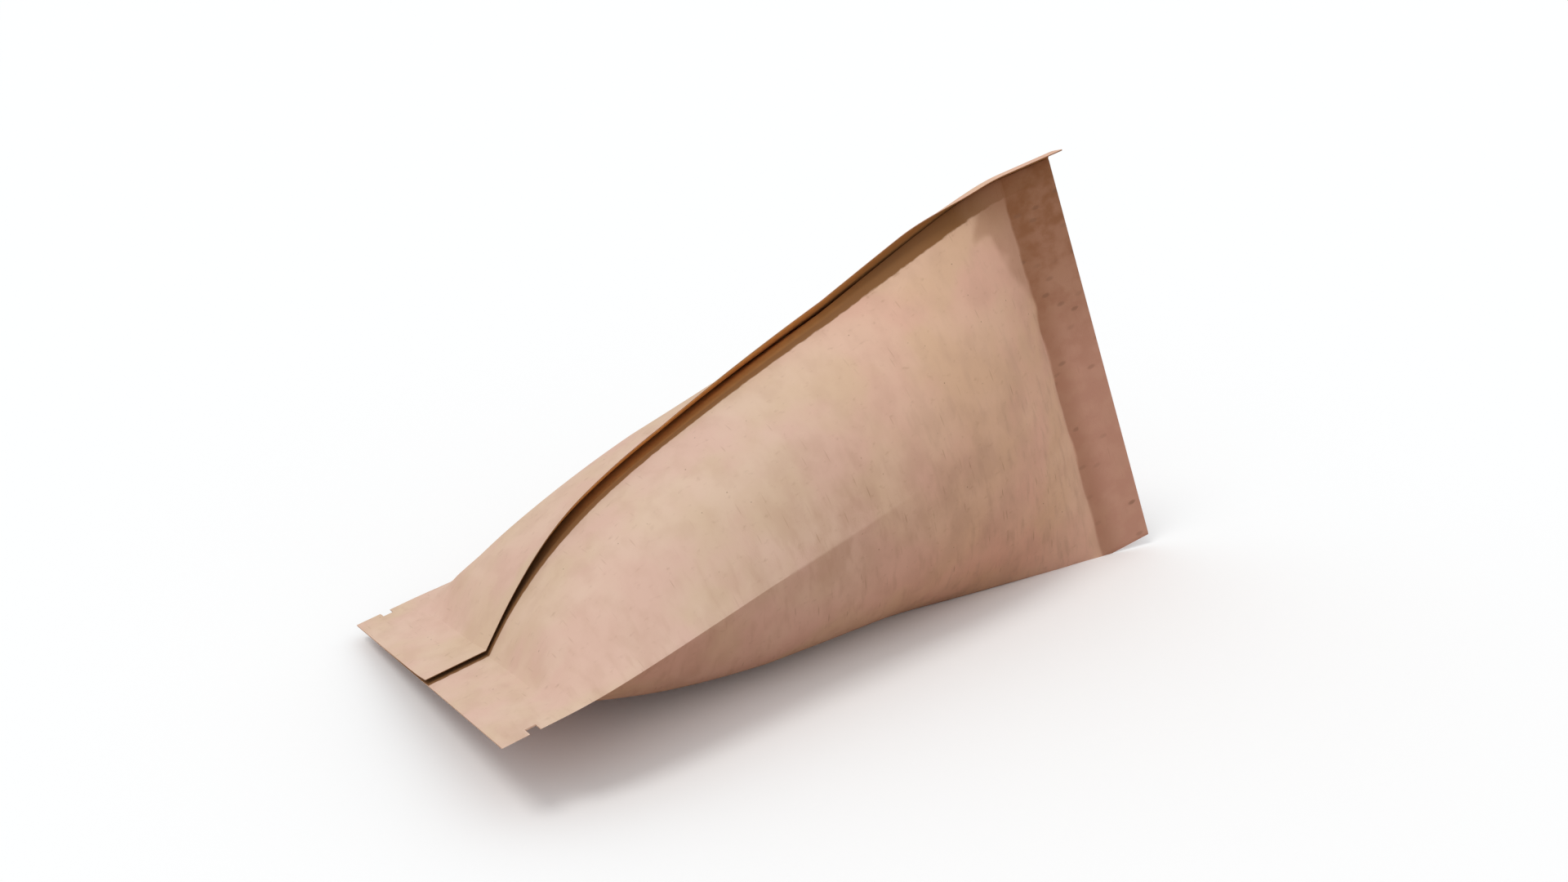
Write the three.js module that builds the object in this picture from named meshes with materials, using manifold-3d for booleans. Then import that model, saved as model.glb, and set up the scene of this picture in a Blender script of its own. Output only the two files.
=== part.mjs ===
// A sealed pyramid bag of brown kraft paper, lying on its belly.
//
// One sheet is rolled into a tube and joined by a fin seam along its back. The tube is
// sealed flat across one end and flat across the other end at a right angle to the first,
// which gives four soft sides. The girth is the same all along the bag, because paper
// doesn't stretch: each cross-section is four arcs, each a quarter of the girth long.
//
// In the bag's own axes, X runs from the tear end to the standing end, the tear end's seal
// lies across Y, the standing end's seal lies along Z, and the seam runs along the top.

import * as THREE from "three";
import { mergeVertices } from "three/addons/utils/BufferGeometryUtils.js";
import Module from "manifold-3d";

// Sizes in millimetres, lifts included.
const BAG_LENGTH = 165; // over both seals
const FLAT_WIDTH = 90; // the tube laid flat, so the girth is twice this
const PAPER = 0.15; // one sheet
const SEAL_DEPTH = 13; // each pressed band, along the bag
const NOTCH_FROM_END = 5.5; // tear end's edge to the near side of a tear notch
const NOTCH_WIDTH = 2.2; // along the bag
const NOTCH_DEPTH = 2.6; // into the seal from its side
const FIN_WIDTH = 9; // seam, from its root to its free edge
const FIN_OVERHANG = 3; // free edge, past the middle of the top
const FIN_LIFT_AT_SEALS = 0.5; // free edge, off the paper below it
const FIN_LIFT_ON_BODY = 2.4;
const FIN_MOUTH = 0.12; // height of the slit where the fin meets the panel
const FIN_TAIL_LENGTH = 2; // the seam's free corner, past the standing end's edge
const BELLY_PRESS = 1.2; // how far the belly is pressed flat where it lies
const LEAN = THREE.MathUtils.degToRad(8); // how far it rolls over, away from its free seam edge

// How the bag fills out between its seals. Each place along the body is a share of it, from
// 0 at the tear end's seal to 1 at the standing end's.
const ROUNDNESS = 0.938; // corner to corner over the paper between them, at its fullest
const MIDDLE_TWIST = 0.72; // how fast the section turns at mid-length, 1 being an even twist
const SHOULDER = 2.8; // how far the four sides stand out beyond that, by the tear end's seal
const SHOULDER_AT = 0.06; // where they stand out furthest
const FIN_OPEN_AT = 0.5; // where the fin has risen to its full lift
const FIN_CLOSING = [0.72, 0.95]; // where it comes down again
const FIN_FOLLOW = 0.9; // share of its width that the fin keeps to a panel standing upright
const BELLY_AT = [0.3, 0.7]; // where the ground carries the belly

// Steps of the mesh.
const BODY_STEPS = 40;
const ARC_STEPS = 9;
const FIN_STEPS = 6;
const CROWDING = 0.6; // how much closer together the body's outlines are beside the seals
const FOLD_LAND = 0.5; // flat stretch beside each fold, which keeps the seals evenly thick

const HALF = FLAT_WIDTH / 2;
const BODY_LENGTH = BAG_LENGTH - 2 * SEAL_DEPTH;
const QUARTER_TURN = Math.PI / 2;
const rise = THREE.MathUtils.smoothstep;

// How far along the body x is.
function share(x) {
  return THREE.MathUtils.clamp((x - SEAL_DEPTH) / BODY_LENGTH, 0, 1);
}

// Half the central angle of an arc whose chord is the given share of its length.
function arcHalfAngle(chordShare) {
  let low = 0;
  let high = QUARTER_TURN;
  for (let i = 0; i < 40; i++) {
    const middle = (low + high) / 2;
    const isFlatter = middle < 1e-9 || Math.sin(middle) / middle > chordShare;
    if (isFlatter) low = middle;
    else high = middle;
  }
  return (low + high) / 2;
}

// The cross-section at x: half its width and height, and the bow of its four arcs.
function sectionAt(x) {
  const v = 2 * share(x) - 1;
  const turn = v * (MIDDLE_TWIST + (1 - MIDDLE_TWIST) * Math.abs(v) ** 3);
  const lean = (QUARTER_TURN / 2) * (1 + turn); // 0 lying flat, a quarter turn standing
  const narrow = Math.min(lean, QUARTER_TURN - lean);
  const lens = narrow < 1e-9 ? 1 : Math.sin(narrow) / narrow;
  const chordShare = Math.max(lens, ROUNDNESS);
  return {
    halfWidth: HALF * chordShare * Math.cos(lean),
    halfHeight: HALF * chordShare * Math.sin(lean),
    bow: Math.max(arcHalfAngle(chordShare), 1e-5),
    shoulder: SHOULDER * rise(share(x), 0, SHOULDER_AT) * (1 - share(x)),
  };
}

// A point of the paper and its outward normal. Girth runs from 0 at the top of the bag,
// positive towards +Y, and comes round to the same place after twice the flat width.
function paperPoint(section, girth) {
  const turns = 2 * FLAT_WIDTH;
  const along = ((girth % turns) + turns) % turns;
  const quarter = Math.min(Math.floor(along / HALF), 3);
  const { halfWidth: w, halfHeight: h, bow, shoulder } = section;
  const corners = [[0, h], [w, 0], [0, -h], [-w, 0], [0, h]];
  const start = new THREE.Vector2(...corners[quarter]);
  const chord = new THREE.Vector2(...corners[quarter + 1]).sub(start);
  const out = new THREE.Vector2(-chord.y, chord.x).normalize();
  const angle = bow * (2 * (along / HALF - quarter) - 1);
  const radius = chord.length() / (2 * Math.sin(bow));
  const direction = chord.clone().normalize();
  const point = start
    .clone()
    .addScaledVector(chord, 0.5)
    .addScaledVector(direction, radius * Math.sin(angle))
    .addScaledVector(out, radius * (Math.cos(angle) - Math.cos(bow)))
    .addScaledVector(out, shoulder * Math.sin(2 * QUARTER_TURN * (along / HALF - quarter)) ** 2);
  const normal = direction
    .clone()
    .multiplyScalar(Math.sin(angle))
    .addScaledVector(out, Math.cos(angle));
  return { point, normal };
}

// The outer face of the bag: the paper's line moved out by one sheet. At a fold it moves
// straight out along the fold's own direction.
function skinPoint(section, girth, extra = 0) {
  const { point, normal } = paperPoint(section, girth);
  const quarters = girth / HALF;
  const isFold = Math.abs(quarters - Math.round(quarters)) < 1e-9;
  if (isFold) {
    const outward = Math.round(quarters) * QUARTER_TURN;
    normal.set(Math.sin(outward), Math.cos(outward));
  }
  return point.clone().addScaledVector(normal, PAPER + extra);
}

// Girth places from one end to the other, with a short land beside each fold they pass.
function girthSteps(from, to) {
  const places = [from];
  const way = Math.sign(to - from);
  let at = from;
  while ((to - at) * way > 1e-9) {
    const fold = way > 0 ? Math.floor(at / HALF + 1e-9) + 1 : Math.ceil(at / HALF - 1e-9) - 1;
    const end = (to - fold * HALF) * way > 0 ? fold * HALF : to;
    const startsOnFold = Math.abs(at / HALF - Math.round(at / HALF)) < 1e-9;
    const endsOnFold = Math.abs(end / HALF - Math.round(end / HALF)) < 1e-9;
    const first = startsOnFold ? at + way * FOLD_LAND : at;
    const last = endsOnFold ? end - way * FOLD_LAND : end;
    const steps = Math.max(1, Math.round((ARC_STEPS * Math.abs(last - first)) / HALF));
    for (let i = startsOnFold ? 0 : 1; i <= steps; i++) {
      places.push(first + ((last - first) * i) / steps);
    }
    if (endsOnFold) places.push(end);
    at = end;
  }
  return places;
}

const FIN_ROOT = FIN_WIDTH - FIN_OVERHANG; // girth place where the fin leaves the panel
const UNDER_FIN = girthSteps(FIN_ROOT, -HALF * 3); // from the root, under the fin, to the belly
const BEYOND_BELLY = girthSteps(HALF, FIN_ROOT); // up the far side to the fin's root

// The fin's own line in a section: it leaves the panel at its root and bends over the top
// to a free edge that stands a little off the panel below.
function finLine(section, x) {
  const body = share(x);
  const lift = THREE.MathUtils.lerp(
    FIN_LIFT_AT_SEALS,
    FIN_LIFT_ON_BODY,
    rise(body, 0, FIN_OPEN_AT) * (1 - rise(body, ...FIN_CLOSING)),
  );
  const root = skinPoint(section, FIN_ROOT);
  const ahead = skinPoint(section, FIN_ROOT - FOLD_LAND).sub(root).normalize();
  const below = paperPoint(section, -FIN_OVERHANG).point;
  const ridge = Math.max(below.y, section.halfHeight);
  const edge = new THREE.Vector2(-FIN_OVERHANG, ridge + PAPER + lift);
  // The steeper the far panel, the further the fin follows it before it bends over the top,
  // and the longer the bend stays on that panel's side.
  const follow = THREE.MathUtils.lerp(FIN_WIDTH / 3, FIN_FOLLOW * FIN_WIDTH, ahead.y);
  const reach = THREE.MathUtils.lerp(FIN_WIDTH / 3, FIN_WIDTH / 2, ahead.y);
  return new THREE.CubicBezierCurve(
    root,
    root.clone().addScaledVector(ahead, follow),
    edge.clone().add(new THREE.Vector2(reach, -lift / 2)),
    edge,
  );
}

// One closed outline across the bag at x, as points (y, z).
function outlineAt(x) {
  const section = sectionAt(x);
  const fin = finLine(section, x);
  const outline = UNDER_FIN.map((girth) => skinPoint(section, girth));
  for (const girth of BEYOND_BELLY.slice(1, -1)) {
    // The two sheets of the fin run on under the far panel and fade out there.
    const fade = 1 - rise(girth, FIN_ROOT, HALF);
    outline.push(skinPoint(section, girth, 2 * PAPER * fade));
  }
  const above = [];
  const under = [];
  for (let i = 0; i <= FIN_STEPS; i++) {
    const point = fin.getPoint(i / FIN_STEPS);
    const tangent = fin.getTangent(i / FIN_STEPS);
    const up = new THREE.Vector2(tangent.y, -tangent.x);
    above.push(point.clone().addScaledVector(up, FIN_MOUTH + 2 * PAPER));
    under.push(point.clone().addScaledVector(up, FIN_MOUTH));
  }
  return [...outline, ...above, ...under.reverse()];
}

// Where the outlines are taken: closer together beside the seals, where the paper bends most.
function stations() {
  const places = [0, SEAL_DEPTH / 2];
  for (let i = 0; i <= BODY_STEPS; i++) {
    const even = i / BODY_STEPS;
    const eased = even - Math.sin(4 * QUARTER_TURN * even) / (4 * QUARTER_TURN);
    places.push(SEAL_DEPTH + BODY_LENGTH * THREE.MathUtils.lerp(even, eased, CROWDING));
  }
  places.push(BAG_LENGTH - SEAL_DEPTH / 2, BAG_LENGTH);
  return places;
}

// The two ends are closed by joining opposite sides of an outline, the fin apart from the
// rest. Each pair is given so that its triangles face out of the bag.
function endSides(count, first) {
  const finStart = count - 2 * (FIN_STEPS + 1);
  const index = Array.from({ length: count }, (_, j) => first + j);
  const above = index.slice(finStart, finStart + FIN_STEPS + 1);
  const under = index.slice(finStart + FIN_STEPS + 1).reverse();
  const rest = [...index.slice(0, finStart + 1), index[count - 1]];
  const isTearEnd = first === 0;
  const start = UNDER_FIN.indexOf(isTearEnd ? -HALF : 0);
  const end = UNDER_FIN.indexOf(start === UNDER_FIN.indexOf(0) ? -2 * HALF : -3 * HALF);
  const near = rest.slice(start, end + 1);
  const far = [...rest.slice(end + 1), ...rest.slice(0, start)];
  return isTearEnd ? [[near.reverse(), far], [under, above]] : [[near, far.reverse()], [above, under]];
}

// Triangles between two rows of points that run side by side.
function zip(near, far, at) {
  const triangles = [];
  let i = 0;
  let j = 0;
  while (i < near.length - 1 || j < far.length - 1) {
    const nearReach = i < near.length - 1 ? at(near[i + 1]).distanceTo(at(far[j])) : Infinity;
    const farReach = j < far.length - 1 ? at(near[i]).distanceTo(at(far[j + 1])) : Infinity;
    if (nearReach < farReach) {
      triangles.push(near[i], near[i + 1], far[j]);
      i++;
    } else {
      triangles.push(near[i], far[j + 1], far[j]);
      j++;
    }
  }
  return triangles;
}

// The bag as one closed skin through all its outlines, in its own axes.
function bagSkin() {
  const xs = stations();
  const outlines = xs.map(outlineAt);
  const count = outlines[0].length;
  const positions = [];
  outlines.forEach((outline, i) => {
    outline.forEach((p, j) => {
      const isFin = j >= count - 2 * (FIN_STEPS + 1);
      const step = j - (count - 2 * (FIN_STEPS + 1));
      const fromRoot = isFin ? Math.min(step, 2 * FIN_STEPS + 1 - step) / FIN_STEPS : 0;
      const tail = i === xs.length - 1 ? FIN_TAIL_LENGTH * fromRoot ** 2 : 0;
      positions.push(xs[i] + tail, p.x, p.y);
    });
  });
  const indices = [];
  for (let i = 0; i + 1 < outlines.length; i++) {
    for (let j = 0; j < count; j++) {
      const next = (j + 1) % count;
      const [a, b, c, d] = [i * count + j, i * count + next, (i + 1) * count + next, (i + 1) * count + j];
      indices.push(a, b, c, a, c, d);
    }
  }
  const at = (index) => new THREE.Vector3(...positions.slice(3 * index, 3 * index + 3));
  for (const [near, far] of endSides(count, 0)) indices.push(...zip(near, far, at));
  const last = (outlines.length - 1) * count;
  for (const [near, far] of endSides(count, last)) indices.push(...zip(near, far, at));
  const skin = new THREE.BufferGeometry();
  skin.setAttribute("position", new THREE.Float32BufferAttribute(positions, 3));
  skin.setIndex(indices);
  return skin;
}

const wasm = await Module();
wasm.setup();

function toSolid(geometry) {
  const bare = geometry.clone();
  bare.deleteAttribute("normal");
  bare.deleteAttribute("uv");
  const merged = mergeVertices(bare, 1e-4);
  const made = new wasm.Manifold(
    new wasm.Mesh({
      numProp: 3,
      vertProperties: merged.attributes.position.array,
      triVerts: new Uint32Array(merged.index.array),
    }),
  );
  return made;
}

function toGeometry(solid) {
  const mesh = solid.getMesh();
  const geometry = new THREE.BufferGeometry();
  geometry.setAttribute("position", new THREE.BufferAttribute(mesh.vertProperties, 3));
  geometry.setIndex(new THREE.BufferAttribute(mesh.triVerts, 1));
  return geometry;
}

// A square nick through the tear end's seal, from its side.
function tearNotch(side) {
  const clearance = NOTCH_DEPTH;
  const nick = new THREE.BoxGeometry(NOTCH_WIDTH, NOTCH_DEPTH + clearance, FLAT_WIDTH / 4);
  nick.translate(NOTCH_FROM_END + NOTCH_WIDTH / 2, side * (HALF + (clearance - NOTCH_DEPTH) / 2), 0);
  return toSolid(nick);
}

// The plane that the bag lies on, z = height + pitch x + roll y in the bag's axes. It carries
// the belly near both its ends, each pressed in a little, with the bag rolled over by its lean.
function lyingPlane() {
  const roll = Math.tan(LEAN);
  const carried = BELLY_AT.map((along) => SEAL_DEPTH + BODY_LENGTH * along);
  const [first, second] = carried.map((x) => {
    const belly = girthSteps(HALF, 3 * HALF).map((girth) => skinPoint(sectionAt(x), girth));
    return Math.min(...belly.map((p) => p.y - roll * p.x)) + BELLY_PRESS;
  });
  const pitch = (second - first) / (carried[1] - carried[0]);
  return { height: first - pitch * carried[0], pitch, roll };
}

// Turns the bag's axes so that the lying plane becomes the ground, with X still along the bag.
function lyingMatrix({ height, pitch, roll }) {
  const up = new THREE.Vector3(-pitch, -roll, 1).normalize();
  const forward = new THREE.Vector3(1, 0, pitch).normalize();
  const left = new THREE.Vector3().crossVectors(up, forward);
  const turn = new THREE.Matrix4().makeBasis(forward, left, up).transpose();
  const drop = new THREE.Matrix4().makeTranslation(0, 0, -height);
  return turn.multiply(drop);
}

// Presses flat whatever would sink into the ground, and centres the bag over the origin.
function layDown(geometry) {
  geometry.applyMatrix4(lyingMatrix(lyingPlane()));
  const position = geometry.getAttribute("position");
  for (let i = 0; i < position.count; i++) {
    position.setZ(i, Math.max(position.getZ(i), 0));
  }
  geometry.computeBoundingBox();
  const { min, max } = geometry.boundingBox;
  geometry.translate(-(min.x + max.x) / 2, -(min.y + max.y) / 2, -min.z);
  return geometry;
}

const kraftPaper = new THREE.MeshStandardMaterial({ color: 0xc9a78c, roughness: 0.9, metalness: 0 });

const notched = toSolid(bagSkin()).subtract(tearNotch(1)).subtract(tearNotch(-1));
const pyramidBag = new THREE.Mesh(layDown(toGeometry(notched)), kraftPaper);
pyramidBag.name = "pyramid_bag";

const part = new THREE.Group();
part.add(pyramidBag);

export default part;
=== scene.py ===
import math

import bpy
import numpy as np
from mathutils import Matrix, Vector


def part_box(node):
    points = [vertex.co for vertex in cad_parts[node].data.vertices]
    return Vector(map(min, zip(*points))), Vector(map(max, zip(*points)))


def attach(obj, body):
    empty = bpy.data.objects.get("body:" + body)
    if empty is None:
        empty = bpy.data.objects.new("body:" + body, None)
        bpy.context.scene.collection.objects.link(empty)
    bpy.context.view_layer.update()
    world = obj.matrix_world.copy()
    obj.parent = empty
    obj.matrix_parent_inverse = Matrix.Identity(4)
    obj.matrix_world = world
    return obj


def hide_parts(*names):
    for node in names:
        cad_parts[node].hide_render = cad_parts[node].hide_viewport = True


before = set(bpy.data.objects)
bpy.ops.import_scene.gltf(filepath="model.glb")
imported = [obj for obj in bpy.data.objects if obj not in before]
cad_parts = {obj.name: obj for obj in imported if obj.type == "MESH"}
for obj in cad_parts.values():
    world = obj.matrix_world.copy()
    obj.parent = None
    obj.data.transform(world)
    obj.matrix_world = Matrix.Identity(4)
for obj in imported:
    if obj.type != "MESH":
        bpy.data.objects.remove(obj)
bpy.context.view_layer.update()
print("frame loaded")

# Sizes in metres. The bag's own axes are X along it from the tear end to the standing end,
# Y across it and Z up, with the tear end's seal lying level. A pair is where something
# starts and ends along the body, from 0 to 1, unless a note says otherwise.
bag = {
    "length": 0.165,  # over both seals
    "flatWidth": 0.090,
    "paper": 0.00015,  # one sheet
    "sealDepth": 0.013,
    "notchFromEnd": 0.0055,
    "notchWidth": 0.0022,
    "notchDepth": 0.0026,
    "notchCutter": 0.01,  # its height
    "roundness": 0.938,  # the least a side's chord may be of its arc
    "middleTwist": 0.72,  # how evenly width turns into height
    "shoulder": 0.0028,  # the sides stand out beside the tear end's seal
    "shoulderStart": 0.06,  # share of the body
    "bellyPress": 0.0012,
    "bellyRests": (0.3, 0.7),
    "lean": math.radians(8),
    "finWidth": 0.009,
    "finOverhang": 0.003,  # free edge, past the middle of the top
    "finDrawnBack": 0.0006,  # the edge lies that much nearer on the body
    "finLiftAtTear": 0.0007,
    "finLiftAtStand": 0.0010,
    "finLiftOnBody": 0.0026,
    "finOpens": (0, 0.2),
    "finCloses": (0.8, 0.95),
    "finFollow": (0.9, 0.8),  # at the seals and on the body, a share of the fin's width
    "finReach": (0.5, 0.36),  # the same, before its edge
    "finDip": (0.5, 0.85),  # the same, a share of the lift
    "finMouth": 0.00012,  # air at the root
    "finTail": 0.002,  # free corner, past the standing end
    "finTailRun": 0.009,
    "finSteps": 12,
    "shadowAtTear": 0.0012,  # width of the fin's painted shadow past its free edge
    "shadowAtStand": 0.0013,
    # Painted warm bounce light on the fin's underside and the paper it covers:
    "brownStarts": (0.05, 0.25),  # on the fin's underside
    "brownFades": (0.5, 0.85),
    "brownFading": 0.65,
    "coveredStarts": (0.05, 0.3),  # on the paper that the fin covers
    "coveredEnds": (0.55, 0.8),
    "coveredEdge": (0.3, 0.9),  # across it, as shares of the overhang
    "coveredBrown": 0.55,
    "dents": 34,
    "dentSize": (0.007, 0.019),  # least and most
    "dentDepth": 0.0003,
    "dentsStart": (0, 0.12),
    "dentsEnd": (0.88, 1),
    "gatherWaves": range(9, 31, 2),  # ripples round the girth
    "gatherDepth": 0.00008,
    "gatherRun": 0.005,
    "foldGuard": 0.006,  # dents fade that near to a fold
    "foldLand": 0.0003,
    "stationStep": 0.00065,
    "girthStep": 0.00085,
    "sharpAngle": math.radians(32),
    "seed": 7,
}

half = bag["flatWidth"] / 2
fullGirth = 4 * half
bodyLength = bag["length"] - 2 * bag["sealDepth"]
finRoot = bag["finWidth"] - bag["finOverhang"]
finSteps = bag["finSteps"]
sheetScale = 10  # the paper's layout counts 100 mm as 1
luck = np.random.default_rng(bag["seed"])


# A soft run from 0 to 1.
def rise(t, low, high):
    u = np.clip((t - low) / (high - low), 0, 1)
    return u * u * (3 - 2 * u)


def between(first, second, amount):
    return first + (second - first) * amount


# How far along the body, 0 at the tear end's seal and 1 at the standing end's.
def share(x):
    return np.clip((x - bag["sealDepth"]) / bodyLength, 0, 1)


# How far round from the nearest of the places that come again every so often.
def fromNearest(girth, place, every):
    return np.abs(np.mod(girth - place + every / 2, every) - every / 2)


# An arc's chord as a share of its length, for half the angle that it turns.
bows = np.linspace(1e-5, math.pi / 2, 6000)
chordOfBow = np.sin(bows) / bows


# Half width, half height, bow of the four arcs and how far the sides stand out.
def sectionAt(x):
    v = 2 * share(x) - 1
    twist = bag["middleTwist"]
    lean = math.pi / 4 * (1 + v * (twist + (1 - twist) * np.abs(v) ** 3))
    narrow = np.minimum(lean, math.pi / 2 - lean)
    chord = np.maximum(np.sinc(narrow / math.pi), bag["roundness"])
    bow = np.interp(chord, chordOfBow[::-1], bows[::-1])
    stand = bag["shoulder"] * rise(share(x), 0, bag["shoulderStart"]) * (1 - share(x))
    return half * chord * np.cos(lean), half * chord * np.sin(lean), bow, stand


# The paper's place (y, z) and its outward direction, for arrays of x and girth. Girth is
# 0 along the top of the bag and grows towards +Y.
def paperAt(x, girth):
    w, h, bow, stand = sectionAt(x)
    along = np.mod(girth, fullGirth)
    quarter = np.minimum(np.floor(along / half + 1e-9), 3).astype(int)
    zero = np.zeros_like(w)
    cornerY = np.stack([zero, w, zero, -w, zero])
    cornerZ = np.stack([h, zero, -h, zero, h])
    pick = np.arange(w.size)
    start = np.stack([cornerY[quarter, pick], cornerZ[quarter, pick]])
    end = np.stack([cornerY[quarter + 1, pick], cornerZ[quarter + 1, pick]])
    chord = end - start
    size = np.hypot(*chord)
    way = chord / size
    out = np.stack([-way[1], way[0]])
    part = along / half - quarter
    angle = bow * (2 * part - 1)
    radius = size / (2 * np.sin(bow))
    bulge = radius * (np.cos(angle) - np.cos(bow)) + stand * np.sin(math.pi * part) ** 2
    place = start + chord / 2 + way * radius * np.sin(angle) + out * bulge
    normal = way * np.sin(angle) + out * np.cos(angle)
    # Right on a fold, the paper faces straight up, down or sideways.
    onFold = np.abs(girth / half - np.round(girth / half)) < 1e-6
    turn = np.round(girth / half) * math.pi / 2
    normal = np.where(onFold, np.stack([np.sin(turn), np.cos(turn)]), normal)
    return place, normal


# Soft dents from handling and short gathers where the paper leaves each seal.
dentList = [
    (
        luck.uniform(bag["sealDepth"], bag["length"] - bag["sealDepth"]),
        luck.uniform(0, fullGirth),
        luck.uniform(*bag["dentSize"]),
        luck.uniform(-1, 1),
    )
    for _ in range(bag["dents"])
]
gatherList = [(n, luck.uniform(0, 2 * math.pi), luck.uniform(0.4, 1)) for n in bag["gatherWaves"]]


def unevenness(x, girth):
    depth = np.zeros_like(x)
    for dentX, dentGirth, size, strength in dentList:
        away = ((x - dentX) ** 2 + fromNearest(girth, dentGirth, fullGirth) ** 2) / size**2
        depth += bag["dentDepth"] * strength * np.exp(-away)
    depth *= rise(share(x), *bag["dentsStart"]) * (1 - rise(share(x), *bag["dentsEnd"]))
    turn = girth * 2 * math.pi / fullGirth
    ripple = sum(size * np.sin(n * turn + phase) for n, phase, size in gatherList) / 3
    fromTear = np.maximum(x - bag["sealDepth"], 0) / bag["gatherRun"]
    fromStand = np.maximum(bag["length"] - bag["sealDepth"] - x, 0) / bag["gatherRun"]
    gather = fromTear * np.exp(1 - fromTear) + fromStand * np.exp(1 - fromStand)
    depth += bag["gatherDepth"] * ripple * gather
    besideFin = rise(fromNearest(girth, 0, fullGirth), bag["finWidth"], 2 * bag["finWidth"])
    besideFold = rise(fromNearest(girth, 0, half), 0, bag["foldGuard"])
    return depth * besideFin * besideFold


# The paper's outer face, lifted by any extra.
def skinAt(x, girth, extra=0):
    place, normal = paperAt(x, girth)
    return place + normal * (bag["paper"] + extra + unevenness(x, girth))


# Girth places between two ends, with a short flat land beside each fold on the way.
def girthPlaces(start, end):
    count = int(round(abs(end - start) / bag["girthStep"]))
    places = list(np.linspace(start, end, count + 1))
    low, high = min(start, end), max(start, end)
    for k in range(-4, 5):
        fold = k * half
        if not low < fold < high:
            continue
        land = bag["foldLand"]
        places = [g for g in places if abs(g - fold) > 1.6 * land]
        places += [fold - land, fold, fold + land]
    return np.array(sorted(places, reverse=end < start))


def stationPlaces():
    count = int(round(bag["length"] / bag["stationStep"]))
    return np.linspace(0, bag["length"], count + 1)


# The fin in section: it leaves the panel at its root and bends over the top of the bag. On
# the body it lies close up to the fold and then turns up.
def finRows(stations):
    body = share(stations)
    onBody = rise(body, *bag["finOpens"]) * (1 - rise(body, *bag["finCloses"]))
    atSeals = between(bag["finLiftAtTear"], bag["finLiftAtStand"], body)
    lift = between(atSeals, bag["finLiftOnBody"], onBody)
    overhang = bag["finOverhang"] - bag["finDrawnBack"] * onBody
    root = skinAt(stations, np.full_like(stations, finRoot))
    ahead = skinAt(stations, np.full_like(stations, finRoot - 0.0005)) - root
    ahead /= np.hypot(*ahead)
    ridge = np.maximum(paperAt(stations, -overhang)[0][1], sectionAt(stations)[1])
    edge = np.stack([-overhang, ridge + bag["paper"] + lift])

    # The curve's handles. Where the panel lies level, a third of the width is enough.
    def handle(shares):
        third = bag["finWidth"] / 3
        return between(third, between(*shares, onBody) * bag["finWidth"], ahead[1])

    before = edge + np.stack([handle(bag["finReach"]), -lift * between(*bag["finDip"], onBody)])
    a, b, c, d = root, root + ahead * handle(bag["finFollow"]), before, edge
    rows, ups = [], []
    for t in np.linspace(0, 1, finSteps + 1):
        u = 1 - t
        rows.append(u**3 * a + 3 * u * u * t * b + 3 * u * t * t * c + t**3 * d)
        way = u * u * (b - a) + 2 * u * t * (c - b) + t * t * (d - c)
        way /= np.hypot(*way)
        ups.append(np.stack([way[1], -way[0]]))
    return rows, ups, way


# The bag's lengthwise lines: round it from the fin's root, under the bag and up to the root
# again, then out on the fin's top, over its lip and back along its underside. Each comes
# with its girth on the sheet and how far out it is on the fin, from 0 to 1.
def bagLines(stations):
    lines, girths, outward = [], [], []

    def add(line, girth, out=0):
        lines.append(line)
        girths.append(girth)
        outward.append(out)

    for girth in girthPlaces(finRoot, -3 * half):
        add(skinAt(stations, np.full_like(stations, girth)), girth)
    for girth in girthPlaces(half, finRoot)[1:-1]:
        extra = 2 * bag["paper"] * (1 - rise(girth, finRoot, half))
        add(skinAt(stations, np.full_like(stations, girth), extra), girth - fullGirth)
    finStart = len(lines)

    rows, ups, way = finRows(stations)
    sheet, mouth, width = bag["paper"], bag["finMouth"], bag["finWidth"]
    root = finRoot - fullGirth
    for i in range(finSteps + 1):
        add(rows[i] + ups[i] * (mouth + 2 * sheet), root - i * width / finSteps, i / finSteps)
    # The two sheets end a hair apart: how far past the edge, and how many sheets up.
    lip = [(0.00012, 1.75), (0.00012, 1.25), (-0.0003, 1.04)]
    lip += [(-0.0003, 0.96), (-0.00006, 0.75), (-0.00006, 0.2)]
    for past, level in lip:
        add(rows[-1] + way * past + ups[-1] * (mouth + level * sheet), root - width - past, 1)
    for i in range(finSteps, -1, -1):
        add(rows[i] + ups[i] * mouth, root - 2 * width + i * width / finSteps, i / finSteps)
    return np.array(lines), np.array(girths), np.array(outward), finStart


# Turns the bag's own axes so that it lies on its belly, pressed a little flat.
def layDown(points):
    girth = np.linspace(half, 3 * half, 60)
    roll = math.tan(bag["lean"])
    rests = [bag["sealDepth"] + bodyLength * along for along in bag["bellyRests"]]
    levels = []
    for x in rests:
        place, normal = paperAt(np.full_like(girth, x), girth)
        belly = place + normal * bag["paper"]
        levels.append((belly[1] - roll * belly[0]).min() + bag["bellyPress"])
    pitch = (levels[1] - levels[0]) / (rests[1] - rests[0])
    height = levels[0] - pitch * rests[0]
    up = Vector((-pitch, -roll, 1)).normalized()
    forward = Vector((1, 0, pitch)).normalized()
    turn = np.array([forward, up.cross(forward), up])
    laid = (points - np.array([0, 0, height])) @ turn.T
    laid[:, 2] = np.maximum(laid[:, 2], 0)
    return laid


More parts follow.
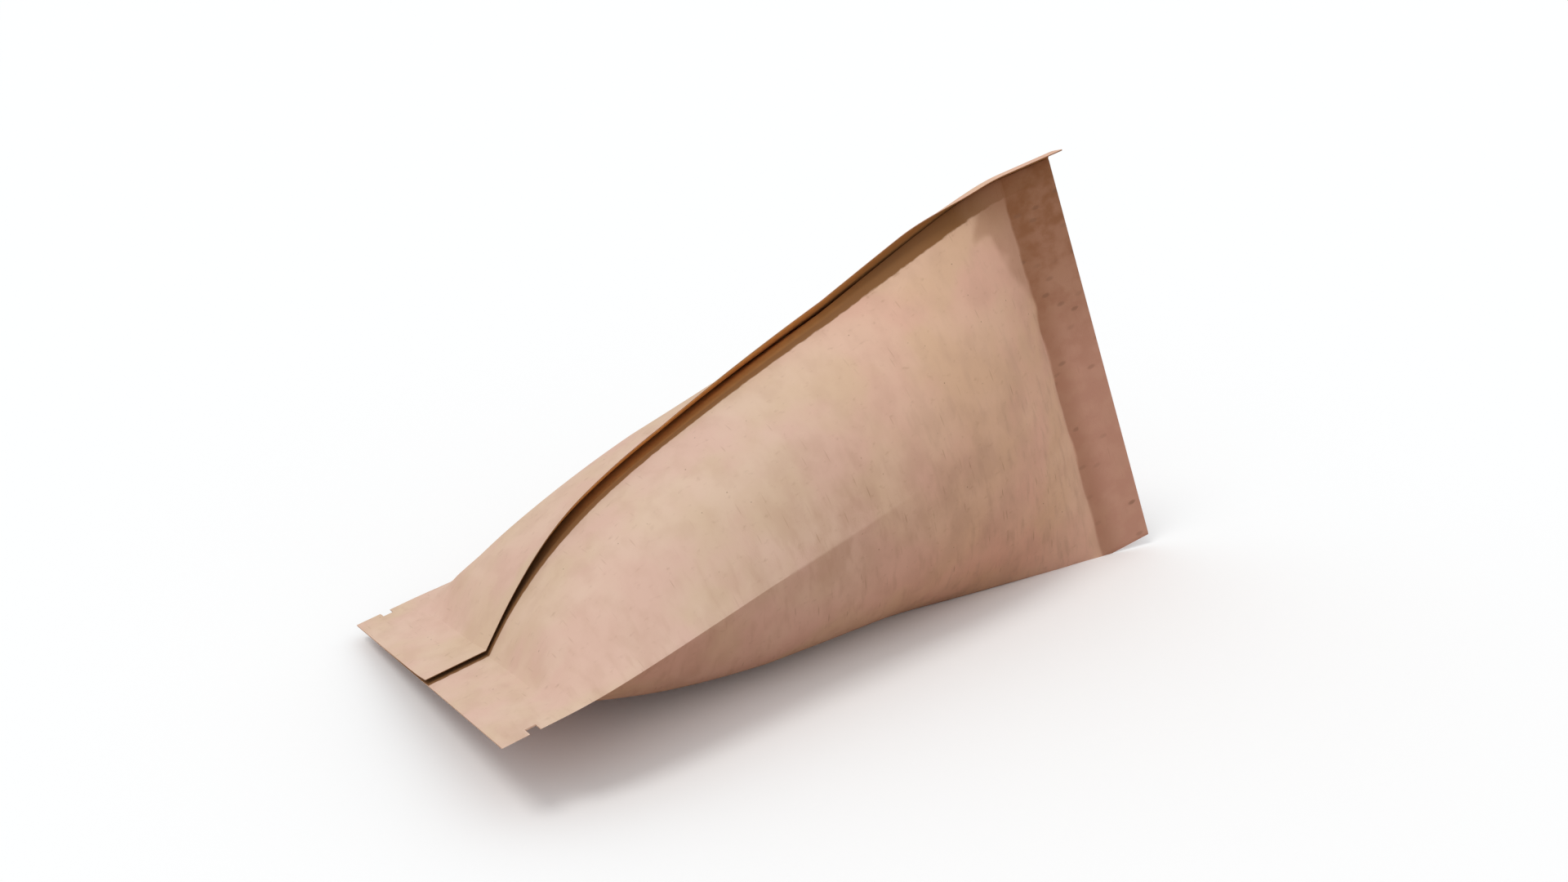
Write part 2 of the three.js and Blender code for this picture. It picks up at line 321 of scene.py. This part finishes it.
# The long quads between neighbouring rings, and the caps that close the two ends.
def bagFaces(rings, count, finStart):
    ring = np.arange(count)
    after = np.roll(ring, -1)
    first = (np.arange(rings - 1) * count)[:, None]
    quads = [first + ring, first + after, first + count + after, first + count + ring]
    faces = np.stack(quads, axis=-1).reshape(-1, 4).tolist()
    finEnd = count - 1
    for base, facesTear in ((0, True), ((rings - 1) * count, False)):
        rest = [base + i for i in range(finStart + 1)] + [base + finEnd]
        strips = []
        for i in range(finSteps):
            top, low = base + finStart + i, base + finEnd - i
            strips.append([top, top + 1, low - 1, low])
        lip = [base + i for i in range(finStart + finSteps, finEnd - finSteps + 1)]
        for face in [rest, *strips, lip]:
            faces.append(face[::-1] if facesTear else face)
    return faces


# The sheet's own layout, along the bag and round its girth, carries the paper's grain.
def layPaperOut(mesh, stations, girths):
    layout = mesh.uv_layers.new(name="sheet")
    vertexOf = np.empty(len(mesh.loops), dtype=int)
    mesh.loops.foreach_get("vertex_index", vertexOf)
    ringOf, lineOf = vertexOf // len(girths), vertexOf % len(girths)
    uv = np.stack([stations[ringOf], girths[lineOf]], axis=-1) * sheetScale
    layout.data.foreach_set("uv", uv.astype(np.float32).ravel())


def addAttribute(mesh, name, values):
    attribute = mesh.attributes.new(name, "FLOAT", "POINT")
    attribute.data.foreach_set("value", values.astype(np.float32).ravel())


# What the paper's colour goes by, beside its layout.
def markPaper(mesh, stations, girths, finStart):
    rings, count = len(stations), len(girths)
    line = np.arange(count)
    onPanel = line < finStart
    underside = count - finSteps - 3  # and the lower sheet's edge
    body = share(stations)[:, None]

    # 0 along the top of the bag and 1 along the bottom.
    fromTop = fromNearest(girths, 0, fullGirth) / (fullGirth / 2)
    addAttribute(mesh, "fromTop", np.tile(fromTop, rings))

    # The fin's painted shadow: 1 where the fin covers the paper, running out to 0 past its free
    # edge.
    spread = between(bag["shadowAtTear"], bag["shadowAtStand"], body)
    past = np.where(onPanel, -girths - bag["finOverhang"], 1)[None, :]
    past[:, underside:] = 0
    addAttribute(mesh, "finShadow", np.clip(1 - past / spread, 0, 1))

    # Painted warm bounce light under the fin, clear of both ends and fainter towards the standing
    # one:
    # the fin's underside, and less of it the covered paper.
    deep = bag["coveredBrown"] * (1 - rise(-girths / bag["finOverhang"], *bag["coveredEdge"]))
    covered = rise(body, *bag["coveredStarts"]) * (1 - rise(body, *bag["coveredEnds"]))
    paintedFinBounce = np.where(onPanel, deep, 0) * covered
    fading = 1 - bag["brownFading"] * rise(body, *bag["brownFades"])
    paintedFinBounce[:, underside:] = rise(body, *bag["brownStarts"]) * fading
    addAttribute(mesh, "paintedFinBounce", paintedFinBounce)

    # 1 on the fin's top, which was outside the press.
    onTop = (line >= finStart + 2) & (line < underside - 1)
    addAttribute(mesh, "finTop", np.tile(onTop, rings))


# A tear notch, cut square through the seal from its side.
def cutNotch(piece, laid, stations, side):
    count = len(laid) // len(stations)
    middle = bag["notchFromEnd"] + bag["notchWidth"] / 2
    ring = int(np.argmin(np.abs(stations - middle)))
    row = laid[ring * count : (ring + 1) * count]
    forward = laid[(ring + 3) * count] - laid[ring * count]
    forward /= np.linalg.norm(forward)
    left = row[row[:, 1].argmax()] - row[row[:, 1].argmin()]
    left /= np.linalg.norm(left)
    up = np.cross(forward, left)
    corner = row[((row - row.mean(axis=0)) @ left * side).argmax()]
    centre = corner + forward * (middle - stations[ring])
    bpy.ops.mesh.primitive_cube_add(size=1)
    cutter = bpy.context.object
    sides = [forward * bag["notchWidth"], left * 2 * bag["notchDepth"], up * bag["notchCutter"]]
    cutter.matrix_world = Matrix([[*axis, 0] for axis in sides] + [[*centre, 1]]).transposed()
    notch = piece.modifiers.new("notch", "BOOLEAN")
    notch.operation = "DIFFERENCE"
    notch.solver = "EXACT"
    notch.object = cutter
    bpy.context.view_layer.objects.active = piece
    bpy.ops.object.modifier_apply(modifier=notch.name)
    bpy.data.objects.remove(cutter)


def buildBag():
    stations = stationPlaces()
    lines, girths, outward, finStart = bagLines(stations)
    rings, count = len(stations), len(lines)
    tail = bag["finTail"] * rise(stations, bag["length"] - bag["finTailRun"], bag["length"])
    xs = stations[:, None] + tail[:, None] * outward**2
    points = np.stack([xs, lines[:, 0, :].T, lines[:, 1, :].T], axis=-1).reshape(-1, 3)
    laid = layDown(points)
    low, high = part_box("pyramid_bag")
    for axis in (0, 1):
        middle = (laid[:, axis].min() + laid[:, axis].max()) / 2
        laid[:, axis] += (low[axis] + high[axis]) / 2 - middle

    mesh = bpy.data.meshes.new("pyramidBag")
    mesh.from_pydata(laid.tolist(), [], bagFaces(rings, count, finStart))
    mesh.validate()
    layPaperOut(mesh, stations, girths)
    markPaper(mesh, stations, girths, finStart)

    piece = bpy.data.objects.new("paperBag", mesh)
    bpy.context.scene.collection.objects.link(piece)
    for side in (-1, 1):
        cutNotch(piece, laid, stations, side)
    for polygon in piece.data.polygons:
        polygon.use_smooth = True
    piece.data.set_sharp_from_angle(angle=bag["sharpAngle"])
    return piece


# Node helpers. A socket is filled by a link when it's given one, else by its value.
def node(tree, kind, inputs=(), **settings):
    made = tree.nodes.new(kind)
    for name, value in settings.items():
        setattr(made, name, value)
    for name, value in dict(inputs).items():
        if isinstance(value, bpy.types.NodeSocket):
            tree.links.new(value, made.inputs[name])
        else:
            made.inputs[name].default_value = value
    return made


def newMaterial(name):
    material = bpy.data.materials.new(name)
    material.use_nodes = True
    tree = material.node_tree
    tree.nodes.clear()
    output = tree.nodes.new("ShaderNodeOutputMaterial")
    return material, tree, output


# Arithmetic on two or three values.
def combine(tree, how, first, second, third=0.0):
    inputs = {0: first, 1: second, 2: third}
    return node(tree, "ShaderNodeMath", inputs, operation=how).outputs[0]


def product(tree, first, *others):
    for other in others:
        first = combine(tree, "MULTIPLY", first, other)
    return first


# A soft step: the value's run from low to high becomes a run between two other values.
def step(tree, value, low, high, toLow=0.0, toHigh=1.0):
    inputs = {"Value": value, "From Min": low, "From Max": high, "To Min": toLow, "To Max": toHigh}
    return node(tree, "ShaderNodeMapRange", inputs, interpolation_type="SMOOTHSTEP").outputs[0]


def blend(tree, amount, first, second, how="MIX"):
    made = node(tree, "ShaderNodeMix", data_type="RGBA", blend_type=how)
    for socket, value in ((0, amount), (6, first), (7, second)):
        if isinstance(value, bpy.types.NodeSocket):
            tree.links.new(value, made.inputs[socket])
        elif socket:
            made.inputs[socket].default_value = (*value, 1)
        else:
            made.inputs[socket].default_value = value
    return made.outputs[2]


def placed(tree, layout, stretch=(1, 1), shift=(0, 0), slant=0):
    inputs = {"Vector": layout, "Scale": (*stretch, 1), "Location": (*shift, 0)}
    inputs["Rotation"] = (0, 0, math.radians(slant))
    return node(tree, "ShaderNodeMapping", inputs).outputs[0]


# Noise over the sheet, by a layer's scale, detail, stretch (along, round) and shift.
def noiseOf(tree, layout, layer):
    where = placed(tree, layout, layer["stretch"], layer["shift"])
    inputs = {"Vector": where, "Scale": layer["scale"], "Detail": layer["detail"]}
    return node(tree, "ShaderNodeTexNoise", inputs, noise_dimensions="2D").outputs[0]


# A layer's strength changes from one value to another as what it goes by crosses its run.
def ramp(tree, value, layer):
    return step(tree, value, *layer["run"], *layer["strength"])


def patchesOf(tree, layout, layer):
    return ramp(tree, noiseOf(tree, layout, layer), layer)


# Scattered marks: of all the cells of a random grid, a small portion hold one soft-edged
# spot each, some of them fainter.
def marksOf(tree, layout, layer):
    where = placed(tree, layout, layer["stretch"], layer["shift"], layer["slant"])
    inputs = {"Vector": where, "Scale": 1 / layer["cell"]}
    cells = node(tree, "ShaderNodeTexVoronoi", inputs, voronoi_dimensions="2D")
    fill, portion = layer["fill"], layer["portion"]
    spot = step(tree, cells.outputs["Distance"], 0.35 * fill, fill, 1.0, 0.0)
    chance = node(tree, "ShaderNodeSeparateColor", {0: cells.outputs["Color"]}).outputs
    picked = step(tree, chance[0], 1 - portion, 1 - 0.7 * portion)
    faint = step(tree, chance[1], 0, 1, 0.35, 1.0)
    return product(tree, spot, picked, faint, layer["strength"])


# The unprinted paper. Tints are linear colours, and lengths count 100 mm of the sheet as 1.
kraft = {
    "pink": (0.705, 0.480, 0.385),
    "straw": (0.680, 0.500, 0.360),
    "pale": (0.735, 0.545, 0.425),
    "dusky": (0.520, 0.328, 0.232),
    "fibre": (0.36, 0.21, 0.13),
    "speck": (0.13, 0.06, 0.03),
    "farTint": (1.035, 0.935, 0.870),  # warms the paper towards the standing end
    "farther": dict(run=(0.65, 1.25), strength=(0, 1)),
    # The standing seal's pressed brown, darkened by painted shade towards its top.
    "pressedAndShadedTop": (0.300, 0.136, 0.063),
    "pressedLow": (0.555, 0.304, 0.222),
    "lowDown": dict(run=(0.05, 0.62), strength=(0, 1)),  # from the seal's top down
    "scuff": (0.24, 0.13, 0.08),
    "finShadowBrown": (0.225, 0.100, 0.030),
    # painted warm bounce light under the fin
    "paintedFinBounce": (0.820, 0.400, 0.120),
    "clouds": dict(
        scale=4.5, detail=3, stretch=(1, 1), shift=(0, 0), run=(0.38, 0.62), strength=(0, 1)
    ),
    "paler": dict(
        scale=7, detail=4, stretch=(1, 1), shift=(3, 1), run=(0.38, 0.72), strength=(0, 0.6)
    ),
    "mottle": dict(
        scale=15, detail=4, stretch=(1.2, 0.9), shift=(9, 6), run=(0.42, 0.72), strength=(0, 0.2)
    ),
    "streaks": dict(
        scale=25, detail=4, stretch=(1.9, 0.55), shift=(1, 4), run=(0.5, 0.78), strength=(0, 0.38)
    ),
    "smudges": dict(
        scale=9, detail=4, stretch=(1.2, 0.8), shift=(6, 3), run=(0.48, 0.72), strength=(0, 0.3)
    ),
    "patchy": dict(
        scale=15, detail=4, stretch=(1.2, 0.9), shift=(9, 6), run=(0.32, 0.62), strength=(0.35, 1)
    ),
    "blotches": dict(
        scale=22, detail=4, stretch=(0.8, 1), shift=(0, 9), run=(0.35, 0.68), strength=(0.6, 1)
    ),
    "waves": dict(scale=9, detail=2, stretch=(0.6, 1), shift=(8, 2)),
    "ragged": dict(scale=46, detail=5, stretch=(1, 1.6), shift=(4, 8)),
    "nap": dict(scale=260, detail=3, stretch=(1.6, 0.8), shift=(0, 0)),
    "clearerAlong": dict(run=(0.5, 1.3), strength=(0.05, 0.3)),  # wear, along the bag
    "clearerDown": dict(run=(0.25, 0.55), strength=(0, 0.85)),  # and from its top down
    # The middle of each handling smudge and its reach, along the bag and round it.
    "handled": [(1.12, -0.50, 0.23, 0.20), (0.80, -0.42, 0.16, 0.21)],
    "handling": dict(run=(0.2, 1.15), strength=(0.42, 0)),
    "fibresShow": (1.3, 0.75),  # where wear is clearer, and everywhere
    "fibres": [
        dict(
            stretch=(11, 1), slant=0, shift=(0, 0),
            cell=0.055, fill=0.34, portion=0.020, strength=0.28,
        ),
        dict(
            stretch=(8, 1), slant=11, shift=(3, 2),
            cell=0.045, fill=0.34, portion=0.011, strength=0.24,
        ),
        dict(
            stretch=(9, 1), slant=-14, shift=(7, 1),
            cell=0.040, fill=0.34, portion=0.009, strength=0.24,
        ),
    ],
    "specks": dict(
        stretch=(1, 1), slant=0, shift=(2, 7), cell=0.032, fill=0.055, portion=0.05, strength=0.75
    ),
    "scuffs": dict(
        stretch=(1, 2.2), slant=17, shift=(5, 5), cell=0.046, fill=0.30, portion=0.16, strength=0.55
    ),
    "sealWander": 0.018,
    # These runs are in millimetres along the bag, past the standing seal's line.
    "sealEdge": dict(run=(0.5, 1.4), strength=(0, 1)),
    # the seal's tint with painted shade, reaching back into the body near its top
    "sealTintAndShade": dict(run=(0.2, 3), strength=(0, 0.44)),
    # painted shade on the seal's edge beside the body's bulge
    "rimShade": dict(run=(2, 8), strength=(0.4, 0)),
    # the top corner's painted shade beside the standing seal
    "corner": dict(run=(-13, 1), strength=(0, 1)),
    # the fin's painted shadow, fainter towards the standing seal
    "seam": dict(run=(-14, -1), strength=(0.95, 0.45)),
    # From the top down, how much farther back the seal's tint and painted shade reach, and the top
    # corner's painted shade.
    "shadeReachBack": dict(run=(0, 0.42), strength=(0.17, 0.02)),
    "cornerTop": dict(run=(0.02, 0.15), strength=(1, 0)),
    # How much of the painted shade shows where the seal is pressed.
    "cornerPressed": dict(run=(0, 1), strength=(0.5, 0.2)),
    "seamPressed": dict(run=(0, 1), strength=(1, 0.5)),
    # The fin's painted shadow: how ragged its edge is and where it runs out.
    "shadowRagged": 0.55,
    "shadowEdge": dict(run=(0.33, 0.72), strength=(0, 1)),
    "brownUneven": dict(run=(0.3, 0.7), strength=(0.8, 1)),
    "napStrength": 0.3,
    "napDepth": 0.00006,  # metres
    "roughness": 0.9,
    "gloss": 0.2,
}


# A ramp whose run is in millimetres past the line where the standing seal starts.
def rampBySeal(tree, value, layer):
    line = bag["length"] - bag["sealDepth"]
    run = [(line + distance / 1000) * sheetScale for distance in layer["run"]]
    return step(tree, value, *run, *layer["strength"])


# What the colour goes by: the layout, the marks on the mesh and the standing seal's edge.
def readSheet(tree):
    layout = node(tree, "ShaderNodeUVMap", uv_map="sheet").outputs[0]
    sheet = {"layout": layout, "along": node(tree, "ShaderNodeSeparateXYZ", {0: layout}).outputs[0]}
    for name in ("fromTop", "finShadow", "paintedFinBounce", "finTop"):
        sheet[name] = node(tree, "ShaderNodeAttribute", attribute_name=name).outputs["Fac"]
    sheet["offFin"] = combine(tree, "SUBTRACT", 1.0, sheet["finTop"])
    sheet["waves"] = noiseOf(tree, layout, kraft["waves"])
    edge = combine(tree, "MULTIPLY_ADD", sheet["waves"], kraft["sealWander"], sheet["along"])
    sheet["sealEdge"] = edge
    sheet["pressed"] = product(tree, rampBySeal(tree, edge, kraft["sealEdge"]), sheet["offFin"])
    return sheet


# Broad soft clouds of pink and straw in the pulp, with paler and duskier ones over them.
def pulpColour(tree, sheet):
    layout = sheet["layout"]
    colour = blend(tree, patchesOf(tree, layout, kraft["clouds"]), kraft["pink"], kraft["straw"])
    colour = blend(tree, patchesOf(tree, layout, kraft["paler"]), colour, kraft["pale"])
    farColour = blend(tree, 1.0, colour, kraft["farTint"], "MULTIPLY")
    colour = blend(tree, ramp(tree, sheet["along"], kraft["farther"]), colour, farColour)
    return blend(tree, patchesOf(tree, layout, kraft["mottle"]), colour, kraft["dusky"])


# Streaks, smudges and fibres lie mostly round the girth, with a few dark specks, and they
# are clearer low down and towards the standing end.
def addWear(tree, sheet, colour):
    layout = sheet["layout"]
    farther = ramp(tree, sheet["along"], kraft["clearerAlong"])
    lower = ramp(tree, sheet["fromTop"], kraft["clearerDown"])
    clearer = combine(tree, "ADD", farther, lower)
    for name in ("streaks", "smudges"):
        amount = product(tree, patchesOf(tree, layout, kraft[name]), clearer)
        colour = blend(tree, amount, colour, kraft["dusky"])

    # Handling smudges low on the front.
    patchy = patchesOf(tree, layout, kraft["patchy"])
    for middle, girth, reach, width in kraft["handled"]:
        spot = placed(tree, layout, (1 / reach, 1 / width), (-middle / reach, -girth / width))
        away = node(tree, "ShaderNodeVectorMath", {0: spot}, operation="LENGTH").outputs["Value"]
        amount = product(tree, ramp(tree, away, kraft["handling"]), patchy)
        colour = blend(tree, amount, colour, kraft["dusky"])

    shown = combine(tree, "MULTIPLY_ADD", clearer, *kraft["fibresShow"])
    for layer in kraft["fibres"]:
        thread = product(tree, marksOf(tree, layout, layer), shown)
        colour = blend(tree, thread, colour, kraft["fibre"])
    return blend(tree, marksOf(tree, layout, kraft["specks"]), colour, kraft["speck"])


# The standing seal is browner where it was pressed, and painted shade browns it most of all towards
# its top, where the tint and painted shade also reach back past it into the body.
def pressAndShadeSeal(tree, sheet, colour):
    layout, fromTop, edge = sheet["layout"], sheet["fromTop"], sheet["sealEdge"]
    lowDown = ramp(tree, fromTop, kraft["lowDown"])
    tint = blend(tree, lowDown, kraft["pressedAndShadedTop"], kraft["pressedLow"])
    # Painted shade: near the top, the seal's tint reaches back past its line.
    back = product(tree, ramp(tree, fromTop, kraft["shadeReachBack"]), sheet["waves"])
    sealTintAndShade = rampBySeal(tree, combine(tree, "ADD", edge, back), kraft["sealTintAndShade"])
    colour = blend(tree, product(tree, sealTintAndShade, sheet["offFin"]), colour, tint)
    blotched = product(tree, sheet["pressed"], patchesOf(tree, layout, kraft["blotches"]))
    colour = blend(tree, blotched, colour, tint)
    # Painted shade along the seal's edge, where the body bulges beside it.
    rimShade = product(tree, sheet["pressed"], rampBySeal(tree, edge, kraft["rimShade"]))
    colour = blend(tree, rimShade, colour, kraft["pressedAndShadedTop"])
    scuffed = product(tree, marksOf(tree, layout, kraft["scuffs"]), sheet["pressed"])
    return blend(tree, scuffed, colour, kraft["scuff"])


# Painted shade browns the paper in the top corner beside that seal, a painted shadow of the fin
# runs along the seam, and painted warm bounce light lies under the fin.
def paintSeamShadeAndGlow(tree, sheet, colour):
    along, pressed, offFin = sheet["along"], sheet["pressed"], sheet["offFin"]
    # Painted shade in the top corner beside the standing seal, under the fin's end.
    upper = ramp(tree, sheet["fromTop"], kraft["cornerTop"])
    beside = rampBySeal(tree, along, kraft["corner"])
    corner = product(tree, upper, beside, offFin, ramp(tree, pressed, kraft["cornerPressed"]))
    colour = blend(tree, corner, colour, kraft["pressedAndShadedTop"])

    # The fin's painted shadow along the seam, with a ragged edge past the fin's free edge.
    ragged = noiseOf(tree, sheet["layout"], kraft["ragged"])
    finShadow = combine(tree, "MULTIPLY_ADD", ragged, kraft["shadowRagged"], sheet["finShadow"])
    weaker = product(tree, rampBySeal(tree, along, kraft["seam"]), offFin)
    weaker = product(tree, weaker, ramp(tree, pressed, kraft["seamPressed"]))
    seam = product(tree, ramp(tree, finShadow, kraft["shadowEdge"]), weaker)
    colour = blend(tree, seam, colour, kraft["finShadowBrown"])
    # Painted warm bounce light under the fin.
    paintedFinBounce = product(tree, sheet["paintedFinBounce"], ramp(tree, ragged, kraft["brownUneven"]))
    return blend(tree, paintedFinBounce, colour, kraft["paintedFinBounce"])


def kraftPaper():
    material, tree, output = newMaterial("kraftPaper")
    sheet = readSheet(tree)
    colour = pulpColour(tree, sheet)
    for layer in (addWear, pressAndShadeSeal, paintSeamShadeAndGlow):
        colour = layer(tree, sheet, colour)
    nap = noiseOf(tree, sheet["layout"], kraft["nap"])
    depth = {"Height": nap, "Strength": kraft["napStrength"], "Distance": kraft["napDepth"]}
    relief = node(tree, "ShaderNodeBump", depth)
    finish = {
        "Base Color": colour,
        "Roughness": kraft["roughness"],
        "Specular IOR Level": kraft["gloss"],
        "Normal": relief.outputs[0],
    }
    surface = node(tree, "ShaderNodeBsdfPrincipled", finish)
    tree.links.new(surface.outputs[0], output.inputs[0])
    return material


studio = {
    "floorSize": 40,
    "floorSeen": (0.98, 0.98, 0.98),
    "floorBounce": (0.43, 0.265, 0.195),
    "skySeen": (1, 1, 1),
    "skyLight": (0.805, 0.820, 0.830),
    "sunStrength": 0.72,
    "sunColour": (1, 0.97, 0.94),
    "sunFrom": (-0.40, -0.08, 0.91),
    "sunAngle": math.radians(20),
}


# 1 for the rays that show the white background: the camera's, and those off gloss or
# through glass.
def backgroundRay(tree):
    path = node(tree, "ShaderNodeLightPath").outputs
    shiny = combine(tree, "MAXIMUM", path["Is Glossy Ray"], path["Is Transmission Ray"])
    return combine(tree, "MAXIMUM", path["Is Camera Ray"], shiny)


# A pale floor that looks white and keeps the shadow, but throws less light back up.
def buildFloor():
    material, tree, output = newMaterial("paleFloor")
    colour = blend(tree, backgroundRay(tree), studio["floorBounce"], studio["floorSeen"])
    surface = node(tree, "ShaderNodeBsdfDiffuse", {"Color": colour})
    tree.links.new(surface.outputs[0], output.inputs[0])
    bpy.ops.mesh.primitive_plane_add(size=studio["floorSize"])
    floor = bpy.context.object
    floor.name = "floor"
    floor.data.materials.append(material)


def buildLight():
    world = bpy.data.worlds.new("studio")
    bpy.context.scene.world = world
    world.use_nodes = True
    tree = world.node_tree
    tree.nodes.clear()
    colour = blend(tree, backgroundRay(tree), studio["skyLight"], studio["skySeen"])
    background = node(tree, "ShaderNodeBackground", {"Color": colour})
    output = tree.nodes.new("ShaderNodeOutputWorld")
    tree.links.new(background.outputs[0], output.inputs[0])
    sun = bpy.data.lights.new("key", "SUN")
    sun.energy = studio["sunStrength"]
    sun.color = studio["sunColour"]
    sun.angle = studio["sunAngle"]
    lamp = bpy.data.objects.new("key", sun)
    lamp.rotation_euler = Vector(studio["sunFrom"]).to_track_quat("Z", "Y").to_euler()
    bpy.context.scene.collection.objects.link(lamp)


camera = {
    "place": (-0.19232, -0.36965, 0.19660),
    "right": (0.88635, -0.46185, -0.03282),
    "up": (0.18826, 0.29472, 0.93685),
    "lens": 50,
    "sensorWidth": 36,
    "nearest": 0.01,
}


def placeCamera():
    eye = bpy.data.cameras.new("photoCamera")
    eye.lens = camera["lens"]
    eye.sensor_width = camera["sensorWidth"]
    eye.clip_start = camera["nearest"]
    viewer = bpy.data.objects.new("photoCamera", eye)
    right, up = Vector(camera["right"]).normalized(), Vector(camera["up"]).normalized()
    turn = Matrix([right, up, right.cross(up)]).transposed()
    viewer.matrix_world = Matrix.Translation(camera["place"]) @ turn.to_4x4()
    bpy.context.scene.collection.objects.link(viewer)
    bpy.context.scene.camera = viewer


piece = buildBag()
print("bag shaped")
piece.data.materials.append(kraftPaper())
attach(piece, "root")
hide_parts("pyramid_bag")
print("bag surfaced")

buildFloor()
buildLight()
placeCamera()
bpy.context.scene.view_settings.view_transform = "Standard"
print("studio ready")
